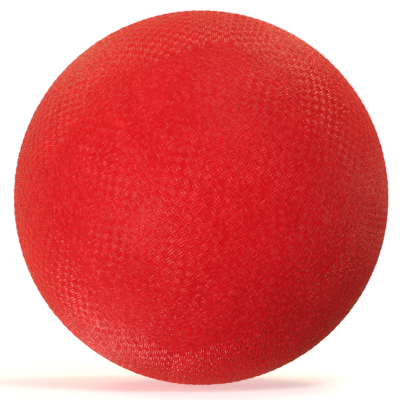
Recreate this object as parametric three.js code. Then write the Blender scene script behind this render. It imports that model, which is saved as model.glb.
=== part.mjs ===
// Playground rubber ball: an inflated, nylon-wound, two-ply rubber ball with a push-in valve plug.
//
// Millimetres, +Z up. The origin is the ball's centre and the valve looks out along +Y.
// Every piece is round about the valve's axis, so each one is a profile turned about Y.
// From the outside in: cover (two half skins), inner ply, thread winding, bladder, valve patch,
// valve housing and, pushed into the housing, the self-sealing valve plug.

import * as THREE from 'three';

// ---- Driving dimensions ----------------------------------------------------------------------

const BALL_RADIUS = 108; // half of the inflated diameter of 216 mm (8.5 inch)
const CLEARANCE = 0.3; // gap left between pieces that are bonded or pressed together

// Wall thicknesses of the layers.
const COVER_WALL = 1.2;
const PLY_WALL = 0.5;
const WINDING_WALL = 0.35;
const BLADDER_WALL = 0.55;
const PATCH_WALL = 0.5;

// Valve housing: a neck through all the layers, a flange under the patch, and a sleeve inside.
const NECK_RADIUS = 6;
const FACE_CHAMFER = 0.4;
const SEAT_RADIUS = 3.9; // counterbore that takes the plug's head
const SEAT_DEPTH = 3;
const BORE_TOP_RADIUS = 3.1;
const BORE_END_RADIUS = 2.7;
const FLANGE_ANGLE = THREE.MathUtils.degToRad(8); // rim of the flange, seen from the ball's centre
const FLANGE_RIM_WALL = 0.7;
const FLANGE_ROOT_WALL = 1.8;
const FLANGE_ROOT_RADIUS = 8.5; // where the flange starts to thin out
const SLEEVE_RADIUS = 5.2;
const SLEEVE_END_RADIUS = 4.2;
const HOUSING_LENGTH = 24;

// Valve plug: a head, a body that tapers inwards, and a blind channel for the inflating needle.
const HEAD_CHAMFER = 0.25;
const PLUG_LENGTH = 22;
const PLUG_TIP_RADIUS = 1.4;
const PLUG_TIP_LENGTH = 2.5;
const NEEDLE_RADIUS = 0.8;
const NEEDLE_DEPTH = 14;
const NEEDLE_END_CONE = 0.8;
const FUNNEL_RADIUS = 1.5;
const FUNNEL_DEPTH = 1.2;

// Patch: a washer of rubberised cloth between the bladder and the housing's flange.
const PATCH_ANGLE = THREE.MathUtils.degToRad(10);

// Facets. All the shells share the same rings and sides, so neighbouring facets stay parallel.
const RING_STEP = THREE.MathUtils.degToRad(10);
const SIDES = 36;

// ---- Sizes that follow from them -------------------------------------------------------------

const coverInside = BALL_RADIUS - COVER_WALL;
const plyOutside = coverInside - CLEARANCE;
const plyInside = plyOutside - PLY_WALL;
const windingOutside = plyInside - CLEARANCE;
const windingInside = windingOutside - WINDING_WALL;
const bladderOutside = windingInside - CLEARANCE;
const bladderInside = bladderOutside - BLADDER_WALL;
const patchOutside = bladderInside - CLEARANCE;
const patchInside = patchOutside - PATCH_WALL;
const flangeOutside = patchInside - CLEARANCE;
const holeRadius = NECK_RADIUS + CLEARANCE;

// ---- Profiles --------------------------------------------------------------------------------

// A profile's point at a distance from the ball's centre and a polar angle from the valve's axis.
function polarPoint(radius, angle) {
  const onAxis = angle === Math.PI;
  return new THREE.Vector2(onAxis ? 0 : radius * Math.sin(angle), radius * Math.cos(angle));
}

// An arc about the ball's centre, with one point at each ring between its two ends.
function arc(radius, from, to) {
  const low = Math.min(from, to);
  const high = Math.max(from, to);
  const angles = [];
  for (let ring = Math.ceil(low / RING_STEP); ring * RING_STEP < high; ring += 1) {
    const angle = ring * RING_STEP;
    const clearOfEnds = angle - low > RING_STEP / 10 && high - angle > RING_STEP / 10;
    if (clearOfEnds) angles.push(angle);
  }
  if (from > to) angles.reverse();
  return [from, ...angles, to].map((angle) => polarPoint(radius, angle));
}

// Edges of a wall: the polar angle at which the sphere of a given radius ends.
const farPole = () => Math.PI;
const belowSeam = (radius) => Math.PI / 2 + Math.asin(CLEARANCE / 2 / radius);
const aboveSeam = (radius) => Math.PI / 2 - Math.asin(CLEARANCE / 2 / radius);
const valveHole = (radius) => Math.asin(holeRadius / radius);
const patchRim = () => PATCH_ANGLE;

// A spherical wall: up its outside from one edge to the other, and back down its inside.
function wallProfile(outside, inside, lowEdge, highEdge) {
  return [
    ...arc(outside, lowEdge(outside), highEdge(outside)),
    ...arc(inside, highEdge(inside), lowEdge(inside)),
  ];
}

// The housing, from the sleeve's inner end up the outside to the face and back down the bore.
function housingProfile() {
  const face = BALL_RADIUS;
  const end = face - HOUSING_LENGTH;
  const flangeRoot = Math.sqrt(flangeOutside ** 2 - NECK_RADIUS ** 2);
  const rimOutside = polarPoint(flangeOutside, FLANGE_ANGLE);
  const rimInside = polarPoint(flangeOutside - FLANGE_RIM_WALL, FLANGE_ANGLE);
  return [
    new THREE.Vector2(SLEEVE_END_RADIUS, end),
    new THREE.Vector2(SLEEVE_RADIUS, flangeRoot - 2 * FLANGE_ROOT_WALL),
    new THREE.Vector2(FLANGE_ROOT_RADIUS, flangeRoot - FLANGE_ROOT_WALL),
    rimInside,
    rimOutside,
    new THREE.Vector2(NECK_RADIUS, flangeRoot),
    new THREE.Vector2(NECK_RADIUS, face - FACE_CHAMFER),
    new THREE.Vector2(NECK_RADIUS - FACE_CHAMFER, face),
    new THREE.Vector2(SEAT_RADIUS, face),
    new THREE.Vector2(SEAT_RADIUS, face - SEAT_DEPTH),
    new THREE.Vector2(BORE_TOP_RADIUS, face - SEAT_DEPTH),
    new THREE.Vector2(BORE_END_RADIUS, end),
  ];
}

// The plug, from its tip up the outside to its head and down the needle's channel.
function plugProfile() {
  const face = BALL_RADIUS;
  const tip = face - PLUG_LENGTH;
  const headRadius = SEAT_RADIUS - CLEARANCE;
  const shoulder = face - SEAT_DEPTH + CLEARANCE;
  const channelEnd = face - NEEDLE_DEPTH;
  return [
    new THREE.Vector2(0, tip),
    new THREE.Vector2(PLUG_TIP_RADIUS, tip),
    new THREE.Vector2(BORE_END_RADIUS - CLEARANCE, tip + PLUG_TIP_LENGTH),
    new THREE.Vector2(BORE_TOP_RADIUS - CLEARANCE, shoulder),
    new THREE.Vector2(headRadius, shoulder),
    new THREE.Vector2(headRadius, face - HEAD_CHAMFER),
    new THREE.Vector2(headRadius - HEAD_CHAMFER, face),
    new THREE.Vector2(FUNNEL_RADIUS, face),
    new THREE.Vector2(NEEDLE_RADIUS, face - FUNNEL_DEPTH),
    new THREE.Vector2(NEEDLE_RADIUS, channelEnd + NEEDLE_END_CONE),
    new THREE.Vector2(0, channelEnd),
  ];
}

// ---- Materials -------------------------------------------------------------------------------

function rubber(color, roughness) {
  return new THREE.MeshStandardMaterial({ color, roughness, metalness: 0 });
}

const finishes = {
  coverRubber: () => rubber(0xdb272e, 0.55),
  plyRubber: () => rubber(0x8c6b49, 0.8),
  nylonThread: () => rubber(0xe6e0d0, 0.7),
  butylRubber: () => rubber(0x1f1f22, 0.6),
  rubberisedCloth: () => rubber(0xa9a292, 0.85),
  valveRubber: () => rubber(0x2a2829, 0.5),
  plugRubber: () => rubber(0x3a3636, 0.45),
};

// ---- Pieces ----------------------------------------------------------------------------------

// A named solid: the profile turned once about Y. A profile clear of the axis is closed first.
function turnedPiece(name, profile, material) {
  const points = [...profile];
  if (points[0].x > 0) points.push(points[0].clone());
  const mesh = new THREE.Mesh(new THREE.LatheGeometry(points, SIDES), material);
  mesh.name = name;
  return mesh;
}

const ball = new THREE.Group();
ball.add(
  turnedPiece(
    'cover_front_half',
    wallProfile(BALL_RADIUS, coverInside, farPole, belowSeam),
    finishes.coverRubber(),
  ),
  turnedPiece(
    'cover_valve_half',
    wallProfile(BALL_RADIUS, coverInside, aboveSeam, valveHole),
    finishes.coverRubber(),
  ),
  turnedPiece(
    'inner_ply',
    wallProfile(plyOutside, plyInside, farPole, valveHole),
    finishes.plyRubber(),
  ),
  turnedPiece(
    'thread_winding',
    wallProfile(windingOutside, windingInside, farPole, valveHole),
    finishes.nylonThread(),
  ),
  turnedPiece(
    'bladder',
    wallProfile(bladderOutside, bladderInside, farPole, valveHole),
    finishes.butylRubber(),
  ),
  turnedPiece(
    'valve_patch',
    wallProfile(patchOutside, patchInside, patchRim, valveHole),
    finishes.rubberisedCloth(),
  ),
  turnedPiece('valve_housing', housingProfile(), finishes.valveRubber()),
  turnedPiece('valve_plug', plugProfile(), finishes.plugRubber()),
);

export default ball;
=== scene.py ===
"""Playground rubber ball: a red basket-weave cover, its valve, and the layers of the wall under it.

Metres, +Z up, the ball's centre at the origin and the valve looking out along +Y. The cover's weave is
laid out as it is in a mould: six square fields, like a cube's faces blown up to a sphere. Two of them, the
crowns, are centred on the valve's axis, and four flanks go round it, where the mould's parting line runs.
"""

import math

import bmesh
import bpy
import numpy as np
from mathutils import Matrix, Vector


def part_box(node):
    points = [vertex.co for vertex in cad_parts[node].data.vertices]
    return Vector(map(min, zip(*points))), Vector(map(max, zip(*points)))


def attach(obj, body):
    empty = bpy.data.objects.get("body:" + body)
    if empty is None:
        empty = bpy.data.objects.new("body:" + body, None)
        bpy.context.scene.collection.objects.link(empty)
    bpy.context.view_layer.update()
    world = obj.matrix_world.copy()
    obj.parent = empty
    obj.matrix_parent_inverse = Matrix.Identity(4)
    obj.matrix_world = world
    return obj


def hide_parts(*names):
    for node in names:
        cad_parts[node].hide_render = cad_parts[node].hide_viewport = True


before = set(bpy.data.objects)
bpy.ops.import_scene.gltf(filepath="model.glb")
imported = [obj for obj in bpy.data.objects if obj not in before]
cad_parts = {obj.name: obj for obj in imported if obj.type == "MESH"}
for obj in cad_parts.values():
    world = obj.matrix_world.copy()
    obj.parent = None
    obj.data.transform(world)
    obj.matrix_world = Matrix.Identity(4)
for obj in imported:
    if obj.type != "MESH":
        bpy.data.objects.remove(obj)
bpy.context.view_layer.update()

# ---- Sizes, in metres ------------------------------------------------------------------------

MM = 0.001


def outer_radius(node):
    """Half the width of a CAD node that is round about the valve's axis."""
    low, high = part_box(node)
    return (high.x - low.x) / 2


BALL_RADIUS = outer_radius("cover_front_half")
FIT_GAP = 0.3 * MM

# Walls of the layers, from the outside in.
COVER_WALL = 1.2 * MM
PLY_WALL = 0.5 * MM
WINDING_WALL = 0.35 * MM
BLADDER_WALL = 0.55 * MM
PATCH_WALL = 0.5 * MM

# The moulded weave: square cells of parallel ribs, turned a quarter from each cell to the next.
CELLS_PER_FIELD = 40
RIBS_PER_CELL = 3
STEPS_PER_RIB = 3
STEPS_PER_CELL = RIBS_PER_CELL * STEPS_PER_RIB
RIBS_PER_FIELD = CELLS_PER_FIELD * RIBS_PER_CELL
RIB_HEIGHT = 0.62 * MM
RIB_END = 0.65  # of a rib's full height, where it starts and ends
RIB_UNDER = 0.4  # of its full height, where it goes under its neighbour
RIB_LEAST = 0.5  # of the full height, for the shallowest rib
RIB_SEED = 100
FIELD_TURN = math.radians(35)
HALF_FIELD = math.pi / 4
STEP_ANGLE = 2 * HALF_FIELD / (CELLS_PER_FIELD * STEPS_PER_CELL)

# How the engraved lines wander: the scale of the move, and the two waves it is made of.
WANDER = 0.5 * MM
LONG_WAVE = 9
SHORT_WAVE = 23
SHORT_SHARE = 0.5

# The smooth pad of cover rubber round the valve, and the cells left out under it.
PAD_RADIUS = 13.5 * MM
PAD_PROUD = 0.1 * MM
PAD_LIP = 0.75 * MM
PAD_STEM_RADIUS = 8.2 * MM
PAD_HOLE_EDGE = 0.15 * MM
PAD_EDGE = 0.3 * MM
PAD_LAND = 0.24  # how far the skin drops under the pad, of a rib's height
PAD_FADE = 1.5 * MM
HOLE_CELLS = 2

# Valve housing and plug.
VALVE_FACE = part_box("valve_housing")[1].y
HOUSING_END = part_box("valve_housing")[0].y
NECK_RADIUS = 6.0 * MM
SEAT_RADIUS = 3.9 * MM
SEAT_DEPTH = 3.0 * MM
BORE_TOP_RADIUS = 3.1 * MM
BORE_END_RADIUS = 2.7 * MM
FLANGE_ANGLE = math.radians(8)
FLANGE_RIM_WALL = 0.7 * MM
FLANGE_ROOT_WALL = 1.8 * MM
FLANGE_ROOT_RADIUS = 8.5 * MM
FLANGE_ROOT_FILLET = 1.0 * MM
SLEEVE_RADIUS = 5.2 * MM
SLEEVE_END_RADIUS = 4.2 * MM
SLEEVE_FILLET = 0.5 * MM
FACE_EDGE = 0.4 * MM
PLUG_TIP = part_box("valve_plug")[0].y
PLUG_TIP_RADIUS = 1.4 * MM
PLUG_TIP_LENGTH = 2.5 * MM
PLUG_TIP_EDGE = 0.6 * MM
PLUG_FOOT_EDGE = 0.8 * MM
PLUG_RINGS = 3
PLUG_RING_PROUD = 0.15 * MM
PLUG_RING_HALF_WIDTH = 0.6 * MM
NEEDLE_RADIUS = 0.8 * MM
NEEDLE_DEPTH = 14.0 * MM
FUNNEL_RADIUS = 1.5 * MM
FUNNEL_DEPTH = 1.2 * MM
PATCH_ANGLE = math.radians(10)

# How far the corners of moulded rubber are cut back to be rounded, where nothing else is said.
TIGHT = 0.1 * MM
CRISP = 0.2 * MM
SOFT = 0.3 * MM

# Turned pieces: sides round the axis, the angle between rings on a spherical wall, the least angle
# that stays a sharp edge, and how near two points are to be one.
SIDES = 96
RING_ANGLE = math.radians(3)
SHARP_ANGLE = math.radians(40)
SAME_POINT = 0.001 * MM

# The winding: turns of thread, each a great circle that keeps clear of the valve.
THREAD_TURNS = 140
THREAD_RADIUS = 0.11 * MM
THREAD_STEPS = 72
THREAD_SIDES = 4
THREAD_CLEARANCE = 2.0 * MM
FIRST_RISE = 0.99
GOLDEN_ANGLE = math.pi * (3 - math.sqrt(5))


# ---- Nodes, colours and meshes ---------------------------------------------------------------


def linear(code):
    """An sRGB hex colour of six digits as linear red, green, blue and alpha."""
    values = [int(code[i : i + 2], 16) / 255 for i in (0, 2, 4)]
    return [v / 12.92 if v <= 0.04045 else ((v + 0.055) / 1.055) ** 2.4 for v in values] + [1.0]


def add(tree, kind, inputs=None, **settings):
    """A node of one kind with its settings, its inputs set to values or linked to other sockets."""
    node = tree.nodes.new(kind)
    for name, value in settings.items():
        setattr(node, name, value)
    for name, value in (inputs or {}).items():
        if isinstance(value, bpy.types.NodeSocket):
            tree.links.new(value, node.inputs[name])
        else:
            node.inputs[name].default_value = value
    return node


def new_material(name):
    """An empty material, its node tree, and the object's own coordinates in it."""
    material = bpy.data.materials.new(name)
    material.use_nodes = True
    tree = material.node_tree
    tree.nodes.clear()
    return material, tree, add(tree, "ShaderNodeTexCoord").outputs["Object"]


def finish_material(tree, **sockets):
    """The principled shader with its sockets named with _ for a space, wired to the output."""
    inputs = {name.replace("_", " "): value for name, value in sockets.items()}
    shader = add(tree, "ShaderNodeBsdfPrincipled", inputs)
    add(tree, "ShaderNodeOutputMaterial", {"Surface": shader.outputs["BSDF"]})


def noise(tree, place, size, detail=2.0):
    """Soft random patches of about a size in metres, from 0 to 1."""
    inputs = {"Vector": place, "Scale": 1 / size, "Detail": detail, "Roughness": 0.55}
    return add(tree, "ShaderNodeTexNoise", inputs).outputs["Fac"]


def spread(tree, amount, low, high, start, end):
    """An amount from low to high as a value from start to end, held at both."""
    inputs = {"Value": amount, "From Min": low, "From Max": high, "To Min": start, "To Max": end}
    return add(tree, "ShaderNodeMapRange", inputs).outputs["Result"]


def blend_colours(tree, amount, start, end):
    """From one colour to another as the amount goes from 0 to 1."""
    node = add(tree, "ShaderNodeMix", data_type="RGBA")
    for name, value in (("Factor_Float", amount), ("A_Color", start), ("B_Color", end)):
        socket = next(s for s in node.inputs if s.identifier == name)
        if isinstance(value, bpy.types.NodeSocket):
            tree.links.new(value, socket)
        else:
            socket.default_value = value
    return next(s for s in node.outputs if s.identifier == "Result_Color")


def bump(tree, height, distance, strength=1.0):
    """A surface normal that a height, from 0 to 1, tilts as that many metres of relief would."""
    inputs = {"Height": height, "Distance": distance, "Strength": strength}
    return add(tree, "ShaderNodeBump", inputs).outputs["Normal"]


def new_piece(name, points, faces, material, body, slot, *replaced):
    """A mesh object that rides on a body and stands for CAD nodes, which it hides. The slot is not used.
    """
    mesh = bpy.data.meshes.new(name)
    mesh.from_pydata(points, [], faces)
    mesh.materials.append(material)
    piece = bpy.data.objects.new(name, mesh)
    bpy.context.scene.collection.objects.link(piece)
    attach(piece, body)
    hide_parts(*replaced)
    return piece


def grid_faces(index):
    """The four-sided faces of a grid of point numbers, as an array of (rows, columns, 4)."""
    return np.stack([index[:-1, :-1], index[1:, :-1], index[1:, 1:], index[:-1, 1:]], -1)


# ---- Materials -------------------------------------------------------------------------------


def cover_rubber(name, deep, bright, dust_and_highlight_share):
    """Sulphur-cured natural rubber, pigmented red through its mass and moulded against matt steel.

    The eye sees one red with a soft gloss, and slow patches of bloom in it that go from a deep red
    to a bright one. Random patches of the ribs' tops are painted paler, partly as dust and wear and
    partly as a painted highlight, as strongly as the last share says. The grooves between them are
    painted darker, as painted shade and dirt.
    """
    material, tree, place = new_material(name)
    depth = add(tree, "ShaderNodeAttribute", attribute_name="groove_depth").outputs["Fac"]
    bloom = noise(tree, place, 18 * MM, 3.0)
    wear = noise(tree, place, 2.2 * MM)
    grain = noise(tree, place, 0.6 * MM)
    top = blend_colours(tree, spread(tree, bloom, 0.35, 0.65, 0, 1), linear(deep), linear(bright))
    # Dust and wear, and a painted highlight: random patches of the rib tops are painted paler and pinker.
    dust_and_highlight = blend_colours(tree, spread(tree, wear, 0.45, 0.65, 0, dust_and_highlight_share), top, linear("EA4B46"))
    # Painted shade and dirt: the deeper a point lies in a groove, the darker the red it is painted.
    colour = blend_colours(tree, depth, dust_and_highlight, linear("BE0915"))
    finish_material(
        tree,
        Base_Color=colour,
        Roughness=spread(tree, grain, 0.3, 0.7, 0.2, 0.32),
        Normal=bump(tree, grain, 0.03 * MM, 0.6),
        IOR=1.52,
        Specular_IOR_Level=0.08,
    )
    return material


def calendered_rubber():
    """Natural rubber rolled to a sheet between hot steel rolls, not pigmented, and dusted with talc.

    The eye sees a dull tan with streaks along the roll and pale patches of talc.
    """
    material, tree, place = new_material("calendered_tan_rubber")
    stretched = add(tree, "ShaderNodeMapping", {"Vector": place, "Scale": (1.0, 0.08, 1.0)})
    streaks = noise(tree, stretched.outputs["Vector"], 2.0 * MM, 4.0)
    talc = noise(tree, place, 14 * MM, 5.0)
    tan = blend_colours(tree, streaks, linear("7E5B3A"), linear("9A7750"))
    finish_material(
        tree,
        Base_Color=blend_colours(tree, spread(tree, talc, 0.5, 0.75, 0, 0.6), tan, linear("C9BFAE")),
        Roughness=spread(tree, talc, 0.4, 0.7, 0.7, 0.9),
        Normal=bump(tree, streaks, 0.04 * MM),
        IOR=1.52,
    )
    return material


def latex_dipped_nylon():
    """Nylon thread of many fine filaments, twisted and dipped in latex so that its turns stick.

    The eye sees an off-white thread with a silky sheen and yellow spots where the latex pooled.
    """
    material, tree, place = new_material("latex_dipped_nylon_thread")
    pools = noise(tree, place, 9 * MM, 3.0)
    twist = noise(tree, place, 0.3 * MM)
    finish_material(
        tree,
        Base_Color=blend_colours(
            tree, spread(tree, pools, 0.4, 0.7, 0, 1), linear("E9E4D6"), linear("CDB98A")
        ),
        Roughness=spread(tree, twist, 0.3, 0.7, 0.45, 0.65),
        Normal=bump(tree, twist, 0.03 * MM),
        IOR=1.53,
        Sheen_Weight=0.2,
    )
    return material


def butyl_bladder_rubber():
    """Carbon-black butyl, blown against a smooth mould, with talc left from the mould.

    The eye sees a soft black with a low sheen and a grey bloom of talc in clouds.
    """
    material, tree, place = new_material("black_butyl_rubber")
    talc = noise(tree, place, 20 * MM, 6.0)
    grain = noise(tree, place, 0.8 * MM)
    finish_material(
        tree,
        Base_Color=blend_colours(
            tree, spread(tree, talc, 0.5, 0.8, 0, 0.7), linear("1B1B1D"), linear("6F6E6C")
        ),
        Roughness=spread(tree, talc, 0.4, 0.7, 0.45, 0.8),
        Normal=bump(tree, grain, 0.03 * MM),
        IOR=1.52,
    )
    return material


def proofed_cotton():
    """Plain-woven cotton with rubber wiped into it, so the threads still show on its face.

    The eye sees a grey-buff cloth: two sets of threads that cross at 0.6 mm, dull and without sheen.
    """
    material, tree, place = new_material("rubber_proofed_cotton")
    thread_pitch = 0.6 * MM
    sets = []
    for direction in ("X", "Z"):
        inputs = {"Vector": place, "Scale": math.pi / (10 * thread_pitch), "Distortion": 0.4}
        wave = add(tree, "ShaderNodeTexWave", inputs, bands_direction=direction)
        sets.append(wave.outputs["Fac"])
    weave = add(tree, "ShaderNodeMath", operation="MULTIPLY")
    tree.links.new(sets[0], weave.inputs[0])
    tree.links.new(sets[1], weave.inputs[1])
    threads = weave.outputs["Value"]
    finish_material(
        tree,
        Base_Color=blend_colours(tree, threads, linear("6E675B"), linear("B8AF9C")),
        Roughness=spread(tree, noise(tree, place, 3 * MM), 0.3, 0.7, 0.8, 0.95),
        Normal=bump(tree, threads, 0.12 * MM),
        IOR=1.5,
    )
    return material


def moulded_valve_rubber(name, black, worn, roughness, grain_height):
    """Black rubber moulded in a spark-eroded cavity.

    The eye sees a soft black with a fine even grain, greyed and duller where it is rubbed.
    """
    material, tree, place = new_material(name)
    grain = noise(tree, place, 0.25 * MM)
    rubbed = noise(tree, place, 3 * MM, 4.0)
    finish_material(
        tree,
        Base_Color=blend_colours(
            tree, spread(tree, rubbed, 0.45, 0.75, 0, 1), linear(black), linear(worn)
        ),
        Roughness=spread(tree, rubbed, 0.3, 0.7, roughness, roughness + 0.15),
        Normal=bump(tree, grain, grain_height),
        IOR=1.52,
    )
    return material


# ---- Cover -----------------------------------------------------------------------------------


def field_axes():
    """Three square axes: one across, the valve's own, and one up, turned about the valve's."""
    across = np.array([math.cos(FIELD_TURN), 0.0, math.sin(FIELD_TURN)])
    valve = np.array([0.0, 1.0, 0.0])
    return [across, valve, np.cross(across, valve)]


def weave(u, v, odd):
    """Height of the weave, from 0 to 1, at the crossings of grid lines u and v of a field.

    A rib is flat on top with a groove on each side of it, so across the ribs the height is 0 on
    every third line and 1 between. Along them it is e + (1 - e) sin(pi t), with e the share at a
    rib's end and t from 0 to 1 over the cell. On a line between two cells it is a smaller share of
    the ribs that end there, because they go under the neighbour's outer rib.
    """
    rib_u = (u % STEPS_PER_RIB != 0) * 1.0
    rib_v = (v % STEPS_PER_RIB != 0) * 1.0
    arch_u = RIB_END + (1 - RIB_END) * np.sin(np.pi * (u % STEPS_PER_CELL) / STEPS_PER_CELL)
    arch_v = RIB_END + (1 - RIB_END) * np.sin(np.pi * (v % STEPS_PER_CELL) / STEPS_PER_CELL)
    along_u = (u // STEPS_PER_CELL + v // STEPS_PER_CELL + odd) % 2 == 0
    height = np.where(along_u, rib_v * arch_u, rib_u * arch_v)
    height = np.where(u % STEPS_PER_CELL == 0, RIB_UNDER * rib_v, height)
    return np.where(v % STEPS_PER_CELL == 0, RIB_UNDER * rib_u, height)


def rib_heights(u, v, odd, seed):
    """The share of its full height that each rib was cut to in the mould, the same all along it.

    Each share is drawn evenly between the least and 1, one table for the ribs along u and one for
    the ribs along v. Lines between two cells keep the full height, so that fields meet.
    """
    size = (2, RIBS_PER_FIELD, RIBS_PER_FIELD)
    shares = np.random.default_rng(seed).uniform(RIB_LEAST, 1, size)
    rib_u, rib_v = u // STEPS_PER_RIB % RIBS_PER_FIELD, v // STEPS_PER_RIB % RIBS_PER_FIELD
    cell_u, cell_v = u // STEPS_PER_CELL, v // STEPS_PER_CELL
    along_u = (cell_u + cell_v + odd) % 2 == 0
    share = np.where(
        along_u,
        shares[0][cell_u % RIBS_PER_FIELD, rib_v],
        shares[1][rib_u, cell_v % RIBS_PER_FIELD],
    )
    on_line = (u % STEPS_PER_CELL == 0) | (v % STEPS_PER_CELL == 0)
    return np.where(on_line, 1.0, share)


def wander(away):
    """Directions moved a little, as the mould's engraved lines wander.

    In x the move is sin(l (y + z)) + h sin(s (x + z)), and in z it is sin(l (x - y)) +
    h sin(s (x - z)), with l the long wave, s the short one and h the short one's share. It is
    scaled by (1 - y) y^2, so it fades out at the parting line and at the valve.
    """
    x, y, z = np.moveaxis(away, -1, 0)
    fade = (1 - y) * y**2
    move = np.stack(
        [
            np.sin(LONG_WAVE * (y + z)) + SHORT_SHARE * np.sin(SHORT_WAVE * (x + z)),
            0 * x,
            np.sin(LONG_WAVE * (x - y)) + SHORT_SHARE * np.sin(SHORT_WAVE * (x - z)),
        ],
        -1,
    )
    moved = away + WANDER / BALL_RADIUS * fade[..., None] * move
    return moved / np.linalg.norm(moved, axis=2, keepdims=True)


def rim_strips(kept, fine, coarse):
    """One many-sided strip from skin to inside for each cell edge with the piece on one side only."""
    run = np.arange(STEPS_PER_CELL + 1)
    padded = np.pad(kept, 1).astype(int)
    strips = []
    for above, below, change in (
        (fine, coarse, np.diff(padded, axis=0)[:, 1:-1]),
        (fine.T, coarse.T, -np.diff(padded, axis=1)[1:-1].T),
    ):
        line, cell = np.nonzero(change)
        edge = above[line[:, None] * STEPS_PER_CELL, cell[:, None] * STEPS_PER_CELL + run]
        strip = np.concatenate([edge, below[line, cell + 1][:, None], below[line, cell][:, None]], 1)
        begins = change[line, cell] > 0
        strips += [strip[begins], strip[~begins][:, ::-1]]
    return np.concatenate(strips)


def directions(u, v, normal, first, second):
    """The unit directions of the crossings of a field's grid lines u and v, before they wander."""
    a = u * STEP_ANGLE - HALF_FIELD
    b = v * STEP_ANGLE - HALF_FIELD
    d = normal + np.tan(a) * first + np.tan(b) * second
    return d / np.linalg.norm(d, axis=2, keepdims=True)


def sink_under_pad(height, away):
    """The heights with the weave let down to a smooth land under the valve's pad."""
    reach = np.arccos(away[..., 1].clip(-1, 1)) * BALL_RADIUS
    fade = ((reach - PAD_RADIUS) / PAD_FADE + 0.5).clip(0, 1)
    return height * fade - PAD_LAND * (1 - fade)


def kept_cells(first_cells, second_cells, has_valve):
    """Which cells of a block are skin: all of them, but for the hole under the valve's pad."""
    from_middle = [
        np.abs(np.arange(*cells) + 0.5 - CELLS_PER_FIELD / 2) < HOLE_CELLS
        for cells in (first_cells, second_cells)
    ]
    return ~(has_valve & from_middle[0][:, None] & from_middle[1][None, :])


def panel(name, axis, side, first_cells, second_cells, material, replaced):
    """A closed piece of the cover over a block of one field's cells.

    A point's direction is side times the field's axis, plus the tangents of its two field angles
    times the next two axes. Its distance from the centre is the ball's radius less the depth of the
    weave there. The inside is a plain wall with one point at each cell's corner, and strips close
    the edges. Each point of the skin has the normal that the weave has there, worked out with one
    step more on each side, so neighbouring panels meet without a line.
    """
    axes = field_axes()
    normal, first, second = side * axes[axis], axes[(axis + 1) % 3], axes[(axis + 2) % 3]
    has_valve = normal[1] == 1
    u = np.arange(first_cells[0] * STEPS_PER_CELL - 1, first_cells[1] * STEPS_PER_CELL + 2)
    v = np.arange(second_cells[0] * STEPS_PER_CELL - 1, second_cells[1] * STEPS_PER_CELL + 2)
    u, v = u[:, None], v[None, :]
    away = wander(directions(u[..., None], v[..., None], normal, first, second))
    height = weave(u, v, side < 0) * rib_heights(u, v, side < 0, RIB_SEED + 10 * axis + side)
    height = np.where(np.isclose(away[..., 1], 0), 1.0, height)
    if has_valve:
        height = sink_under_pad(height, away)
    skin = away * (BALL_RADIUS - RIB_HEIGHT * (1 - height[..., None]))
    along_u = skin[2:, 1:-1] - skin[:-2, 1:-1]
    along_v = skin[1:-1, 2:] - skin[1:-1, :-2]
    normals = side * np.cross(along_u, along_v)
    skin, height = skin[1:-1, 1:-1], height[1:-1, 1:-1]
    inside = away[1:-1:STEPS_PER_CELL, 1:-1:STEPS_PER_CELL] * (BALL_RADIUS - COVER_WALL)

    kept = kept_cells(first_cells, second_cells, has_valve)
    fine = np.arange(height.size).reshape(height.shape)
    coarse = fine.size + np.arange(inside[..., 0].size).reshape(inside.shape[:2])
    fine_kept = kept.repeat(STEPS_PER_CELL, 0).repeat(STEPS_PER_CELL, 1)
    skin_faces = grid_faces(fine)[fine_kept]
    inside_faces = grid_faces(coarse)[kept][:, ::-1]
    strips = rim_strips(kept, fine, coarse)
    faces = [part[:, ::side].tolist() for part in (skin_faces, inside_faces, strips)]
    points = np.concatenate([skin.reshape(-1, 3), inside.reshape(-1, 3)])
    piece = new_piece(name, points, sum(faces, []), material, "ball", "cover_rubber", replaced)
    finish_skin(piece.data, len(skin_faces), height, normals)


def finish_skin(mesh, skin_faces, height, normals):
    """The skin's faces shaded smooth, with each point's depth in the weave and its normal."""
    smooth = np.zeros(len(mesh.polygons), bool)
    smooth[:skin_faces] = True
    mesh.polygons.foreach_set("use_smooth", smooth)
    depths = np.zeros(len(mesh.vertices), np.float32)
    depths[: height.size] = (1 - height.ravel()).clip(0, 1)
    mesh.attributes.new("groove_depth", "FLOAT", "POINT").data.foreach_set("value", depths)
    wanted = np.zeros((len(mesh.vertices), 3))
    unit = normals / np.linalg.norm(normals, axis=2, keepdims=True)
    wanted[: height.size] = unit.reshape(-1, 3)
    mesh.normals_split_custom_set_from_vertices(wanted.tolist())


def make_cover():
    """The two half skins, each of six panels: a crown in two, and the near halves of four flanks."""
    rubber = cover_rubber("moulded_red_natural_rubber", "D7101B", "E61A23", 0.5)
    middle = CELLS_PER_FIELD // 2
    low, high, whole = (0, middle), (middle, CELLS_PER_FIELD), (0, CELLS_PER_FIELD)
    halves = ((-1, "front", "cover_front_half", low), (1, "valve", "cover_valve_half", high))
    for side, title, replaced, near in halves:
        panel(f"{title}_crown_1", 1, side, low, whole, rubber, replaced)
        panel(f"{title}_crown_2", 1, side, high, whole, rubber, replaced)
        panel(f"{title}_flank_1", 0, -1, near, whole, rubber, replaced)
        panel(f"{title}_flank_2", 0, 1, near, whole, rubber, replaced)
        panel(f"{title}_flank_3", 2, -1, whole, near, rubber, replaced)
        panel(f"{title}_flank_4", 2, 1, whole, near, rubber, replaced)
    pad(cover_rubber("smooth_red_natural_rubber", "C20E19", "CE131C", 0.12))


# ---- Turned pieces ---------------------------------------------------------------------------


def on_sphere(radius, angle):
    """The distance from the valve's axis and the height of a point at an angle from that axis."""
    return radius * math.sin(angle), radius * math.cos(angle)


def at_reach(radius, reach):
    """The point of a sphere at a distance from the valve's axis, on the valve's side."""
    return reach, math.sqrt(radius**2 - reach**2)


def sphere_arc(radius, start, end):
    """Points along a circle about the ball's centre, between two angles from the valve's axis."""
    count = max(1, math.ceil(abs(end - start) / RING_ANGLE))
    return [on_sphere(radius, start + (end - start) * k / count) for k in range(count + 1)]


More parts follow.
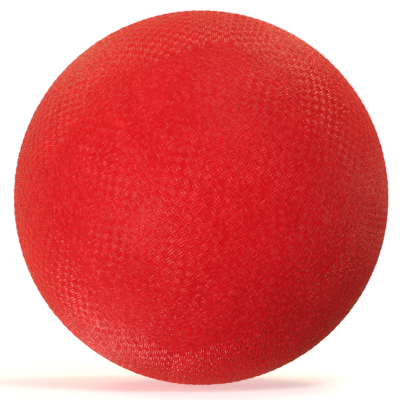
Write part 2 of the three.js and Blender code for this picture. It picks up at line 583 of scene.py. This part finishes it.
def soften(corner, before, after, cut, steps=5):
    """A rounded corner: (1-t)^2 p + 2t(1-t) q + t^2 r, with p and r a cut back from the corner q."""
    q = np.array(corner)
    legs = [np.array(end) - q for end in (before, after)]
    p, r = [q + leg * min(0.5, cut / np.linalg.norm(leg)) for leg in legs]
    t = np.linspace(0, 1, steps)[:, None]
    return [tuple(point) for point in (1 - t) ** 2 * p + 2 * t * (1 - t) * q + t**2 * r]


def softened(corners, closed):
    """A profile through corners of a radius, a height and how far each is cut back to be rounded."""
    count = len(corners)
    profile = []
    for k, (radius, height, cut) in enumerate(corners):
        open_end = not closed and k in (0, count - 1)
        if cut == 0 or open_end:
            profile.append((radius, height))
        else:
            before, after = corners[k - 1][:2], corners[(k + 1) % count][:2]
            profile += soften((radius, height), before, after, cut)
    return profile


def turned(name, profile, closed, material, body, slot, replaced):
    """A profile turned once about the valve's axis.

    The point at (k, t) is (r sin t, h, r cos t), with r and h the radius and height of the
    profile's point k. A closed profile joins its last point to its first. An open one starts and
    ends on the axis, where each ring of points is merged into one.
    """
    radius, height = np.array(profile).T
    t = np.linspace(0, 2 * np.pi, SIDES, endpoint=False)
    rings = np.stack(
        [
            radius[:, None] * np.sin(t),
            np.broadcast_to(height[:, None], (len(radius), SIDES)),
            radius[:, None] * np.cos(t),
        ],
        -1,
    )
    index = np.arange(radius.size * SIDES).reshape(-1, SIDES)
    index = np.concatenate([index, index[:, :1]], 1)
    if closed:
        index = np.concatenate([index, index[:1]], 0)
    faces = grid_faces(index).reshape(-1, 4)
    piece = new_piece(name, rings.reshape(-1, 3), faces.tolist(), material, body, slot, replaced)
    mesh = bmesh.new()
    mesh.from_mesh(piece.data)
    bmesh.ops.remove_doubles(mesh, verts=mesh.verts, dist=SAME_POINT)
    bmesh.ops.recalc_face_normals(mesh, faces=mesh.faces)
    mesh.to_mesh(piece.data)
    mesh.free()
    piece.data.shade_smooth()
    piece.data.set_sharp_from_angle(angle=SHARP_ANGLE)


def pad(rubber):
    """The smooth ring of cover rubber round the valve, with a thin lip over the ends of the weave."""
    hole = NECK_RADIUS + FIT_GAP
    top = BALL_RADIUS + PAD_PROUD
    under = BALL_RADIUS - PAD_LIP
    inner = BALL_RADIUS - COVER_WALL
    corners = [
        (*at_reach(top, hole), PAD_HOLE_EDGE),
        (*at_reach(top, (hole + PAD_RADIUS) / 2), 0),
        (*at_reach(top, PAD_RADIUS), PAD_EDGE),
        (*at_reach(under, PAD_RADIUS), 0),
        (*at_reach(under, PAD_STEM_RADIUS), 0),
        (*at_reach(inner, PAD_STEM_RADIUS), 0),
        (*at_reach(inner, hole), 0),
    ]
    profile = softened(corners, True)
    turned("valve_pad", profile, True, rubber, "ball", "cover_rubber", "cover_valve_half")


def wall(name, outer, thickness, end, material, slot):
    """A spherical wall from the valve's hole to an angle from the axis, or to the far pole."""
    start = math.asin((NECK_RADIUS + FIT_GAP) / outer)
    profile = sphere_arc(outer, end, start) + sphere_arc(outer - thickness, start, end)
    turned(name + "_layer", profile, end < math.pi, material, "ball", slot, name)


def make_layers():
    """The ply, the bladder and the cloth patch under the cover, each with the valve's hole in it."""
    ply_radius, bladder_radius = outer_radius("inner_ply"), outer_radius("bladder")
    patch_radius = outer_radius("valve_patch") / math.sin(PATCH_ANGLE)
    tan, black, cloth = calendered_rubber(), butyl_bladder_rubber(), proofed_cotton()
    wall("inner_ply", ply_radius, PLY_WALL, math.pi, tan, "ply_rubber")
    wall("bladder", bladder_radius, BLADDER_WALL, math.pi, black, "butyl_rubber")
    wall("valve_patch", patch_radius, PATCH_WALL, PATCH_ANGLE, cloth, "rubberised_cloth")


def make_winding():
    """The nylon winding: each turn is a great circle of a thin round thread.

    Turn k lies across the axis n, whose height along the valve's axis falls evenly from the first
    rise, near 1, to the least that keeps the thread off the valve, and which moves on by the golden
    angle each turn.
    The thread's centre is R (a cos t + b sin t), with a and b square to n, and its section is
    a circle in the plane of the radius and n. R grows from the first turn to the last.
    """
    outer = outer_radius("thread_winding") - THREAD_RADIUS
    inner = outer - WINDING_WALL + 2 * THREAD_RADIUS
    clear = (NECK_RADIUS + THREAD_CLEARANCE) / outer
    turn = np.arange(THREAD_TURNS)
    rise = FIRST_RISE - (FIRST_RISE - clear) * (turn + 0.5) / THREAD_TURNS
    around = GOLDEN_ANGLE * turn
    flat = np.sqrt(1 - rise**2)
    n = np.stack([flat * np.cos(around), rise, flat * np.sin(around)], -1)
    a = np.stack([-np.sin(around), 0 * turn, np.cos(around)], -1)
    b = np.cross(n, a)
    t = np.linspace(0, 2 * np.pi, THREAD_STEPS, endpoint=False)
    s = np.linspace(0, 2 * np.pi, THREAD_SIDES, endpoint=False)
    radial = a[:, None] * np.cos(t)[:, None] + b[:, None] * np.sin(t)[:, None]
    distance = np.linspace(inner, outer, THREAD_TURNS)[:, None, None, None]
    points = (
        radial[:, :, None] * (distance + THREAD_RADIUS * np.cos(s)[:, None])
        + n[:, None, None] * THREAD_RADIUS * np.sin(s)[:, None]
    )
    index = np.arange(THREAD_TURNS * THREAD_STEPS * THREAD_SIDES)
    index = index.reshape(THREAD_TURNS, THREAD_STEPS, THREAD_SIDES)
    index = np.concatenate([index, index[:, :1]], 1)
    index = np.concatenate([index, index[:, :, :1]], 2)
    faces = np.stack(
        [index[:, :-1, :-1], index[:, 1:, :-1], index[:, 1:, 1:], index[:, :-1, 1:]],
        -1,
    )
    piece = new_piece(
        "nylon_winding",
        points.reshape(-1, 3),
        faces.reshape(-1, 4).tolist(),
        latex_dipped_nylon(),
        "ball",
        "nylon_thread",
        "thread_winding",
    )
    piece.data.shade_smooth()


def make_valve():
    """The housing, from its sleeve up the outside to the face and down the bore, and its plug.

    The plug's profile starts at its tip, goes up over its sealing rings to the head, and down the
    funnel and the needle's channel. Each corner is a radius, a height and how far it is cut back.
    """
    flange_radius = outer_radius("valve_housing") / math.sin(FLANGE_ANGLE)
    root = math.sqrt(flange_radius**2 - NECK_RADIUS**2)
    seat = VALVE_FACE - SEAT_DEPTH
    housing = [
        (SLEEVE_END_RADIUS, HOUSING_END, SOFT),
        (SLEEVE_RADIUS, root - 2 * FLANGE_ROOT_WALL, SLEEVE_FILLET),
        (FLANGE_ROOT_RADIUS, root - FLANGE_ROOT_WALL, FLANGE_ROOT_FILLET),
        (*on_sphere(flange_radius - FLANGE_RIM_WALL, FLANGE_ANGLE), CRISP),
        (*on_sphere(flange_radius, FLANGE_ANGLE), CRISP),
        (NECK_RADIUS, root, CRISP),
        (NECK_RADIUS, VALVE_FACE, FACE_EDGE),
        (SEAT_RADIUS, VALVE_FACE, CRISP),
        (SEAT_RADIUS, seat, TIGHT),
        (BORE_TOP_RADIUS, seat, TIGHT),
        (BORE_END_RADIUS, HOUSING_END, CRISP),
    ]
    black = moulded_valve_rubber("moulded_black_valve_rubber", "242223", "3D3B3B", 0.5, 0.02 * MM)
    turned(
        "valve_body", softened(housing, True), True, black, "ball", "valve_rubber", "valve_housing"
    )

    head = SEAT_RADIUS - FIT_GAP
    shoulder = seat + FIT_GAP
    neck = BORE_TOP_RADIUS - FIT_GAP
    foot = BORE_END_RADIUS - FIT_GAP
    foot_height = PLUG_TIP + PLUG_TIP_LENGTH
    needle_end = VALVE_FACE - NEEDLE_DEPTH
    body = []
    for ring in range(PLUG_RINGS):
        share = (ring + 1) / (PLUG_RINGS + 1)
        height = foot_height + share * (shoulder - foot_height)
        radius = foot + share * (neck - foot)
        body += [
            (radius, height - PLUG_RING_HALF_WIDTH, CRISP),
            (radius + PLUG_RING_PROUD, height, SOFT),
            (radius, height + PLUG_RING_HALF_WIDTH, CRISP),
        ]
    plug = [
        (0, PLUG_TIP, 0),
        (PLUG_TIP_RADIUS, PLUG_TIP, PLUG_TIP_EDGE),
        (foot, foot_height, PLUG_FOOT_EDGE),
        *body,
        (neck, shoulder, TIGHT),
        (head, shoulder, CRISP),
        (head, VALVE_FACE, SOFT),
        (FUNNEL_RADIUS, VALVE_FACE, CRISP),
        (NEEDLE_RADIUS, VALVE_FACE - FUNNEL_DEPTH, SOFT),
        (NEEDLE_RADIUS, needle_end + NEEDLE_RADIUS, 0),
        (0, needle_end, 0),
    ]
    oiled = moulded_valve_rubber("oiled_black_butyl", "2E2A2A", "403C3B", 0.3, 0.01 * MM)
    turned("needle_plug", softened(plug, False), False, oiled, "plug", "plug_rubber", "valve_plug")


make_cover()
make_layers()
make_winding()
make_valve()

# ---- Stage, light and camera -----------------------------------------------------------------

CAMERA_DISTANCE = 1.5
SENSOR = 36 * MM
BALL_SHARE = 0.938  # of the picture's width
CAMERA_SHIFT = (-0.003, -0.0058)
AMBIENT = 0.36
BRIGHT_SIDE = (-0.7, 0.0, 0.7)
REFLECTED = (0.15, 1.1)

# Soft boxes: where each stands from the ball, its width, how strongly it lights the ball, its tint.
LIGHT_DISTANCE = 1.5
SOFT_BOXES = {
    "key": ((-0.54, -0.81, -0.20), 0.45, 0.68, (1.0, 0.98, 0.98)),
    "front_top": ((0.25, -0.63, 0.73), 0.45, 0.36, (1.0, 0.98, 0.98)),
    "top_left": ((-0.59, 0.37, 0.72), 0.5, 0.25, (1.0, 0.80, 0.50)),
    "top_right": ((0.40, 0.36, 0.84), 0.5, 0.40, (1.0, 0.80, 0.50)),
    "right": ((0.95, 0.25, 0.0), 0.5, 0.21, (1.0, 0.86, 0.65)),
    "low_left": ((-0.50, 0.38, -0.78), 0.45, 0.40, (1.0, 0.92, 0.92)),
}


def make_floor():
    """A plain white floor that the ball rests on. It takes the ball's shadow and throws no light back."""
    size = 1.0
    low = -BALL_RADIUS
    points = [(-size, -size, low), (size, -size, low), (size, size, low), (-size, size, low)]
    mesh = bpy.data.meshes.new("floor")
    mesh.from_pydata(points, [], [(0, 1, 2, 3)])
    floor = bpy.data.objects.new("floor", mesh)
    bpy.context.scene.collection.objects.link(floor)
    material, tree, _ = new_material("white_paper")
    finish_material(
        tree,
        Base_Color=linear("F4F4F4"),
        Roughness=0.9,
        Emission_Color=linear("FFFFFF"),
        Emission_Strength=0.45,
    )
    mesh.materials.append(material)
    floor.visible_diffuse = False
    floor.visible_glossy = False
    floor.visible_shadow = False


def make_light(name, direction, size, strength, colour):
    """A square soft box that faces the ball and gives its near side that share of full white."""
    lamp = bpy.data.lights.new(name, "AREA")
    lamp.energy = strength * math.pi**2 * LIGHT_DISTANCE**2
    lamp.size = size
    lamp.color = colour
    light = bpy.data.objects.new(name, lamp)
    light.location = Vector(direction).normalized() * LIGHT_DISTANCE
    light.rotation_euler = light.location.to_track_quat("Z", "Y").to_euler()
    light.visible_camera = False
    bpy.context.scene.collection.objects.link(light)


def make_world():
    """A white room: dim in the light it gives, full white where it is looked at, warm in reflections.

    What the ball reflects is bright above and on the left, and dark below and on the right.
    """
    world = bpy.data.worlds.new("studio")
    bpy.context.scene.world = world
    world.use_nodes = True
    tree = world.node_tree
    tree.nodes.clear()
    ray = add(tree, "ShaderNodeLightPath").outputs
    direction = add(tree, "ShaderNodeTexCoord").outputs["Generated"]
    towards = add(tree, "ShaderNodeVectorMath", {0: direction, 1: BRIGHT_SIDE}, operation="DOT_PRODUCT")
    glow = spread(tree, towards.outputs["Value"], -0.6, 0.6, *REFLECTED)
    dim, warm, full = (
        add(tree, "ShaderNodeBackground", {"Color": colour, "Strength": strength}).outputs["Background"]
        for colour, strength in (
            (linear("FFFFFF"), AMBIENT),
            (linear("FFE4B4"), glow),
            (linear("FFFFFF"), 1.0),
        )
    )
    lit = add(tree, "ShaderNodeMixShader", {0: ray["Is Glossy Ray"], 1: dim, 2: warm})
    seen = add(tree, "ShaderNodeMixShader", {0: ray["Is Camera Ray"], 1: lit.outputs["Shader"], 2: full})
    add(tree, "ShaderNodeOutputWorld", {"Surface": seen.outputs["Shader"]})


def make_camera():
    """A level camera that looks along +Y, with a long lens set by the ball's share of the picture."""
    data = bpy.data.cameras.new("camera")
    camera = bpy.data.objects.new("camera", data)
    bpy.context.scene.collection.objects.link(camera)
    camera.location = (0, -CAMERA_DISTANCE, 0)
    camera.rotation_euler = (math.pi / 2, 0, 0)
    half_spread = math.tan(math.asin(BALL_RADIUS / CAMERA_DISTANCE))
    data.sensor_width = SENSOR / MM
    data.lens = data.sensor_width * BALL_SHARE / (2 * half_spread)
    data.shift_x, data.shift_y = CAMERA_SHIFT
    data.clip_start = 0.01
    bpy.context.scene.camera = camera


make_floor()
make_world()
for box_name, box_values in SOFT_BOXES.items():
    make_light(box_name, *box_values)
make_camera()
bpy.context.scene.view_settings.view_transform = "Standard"
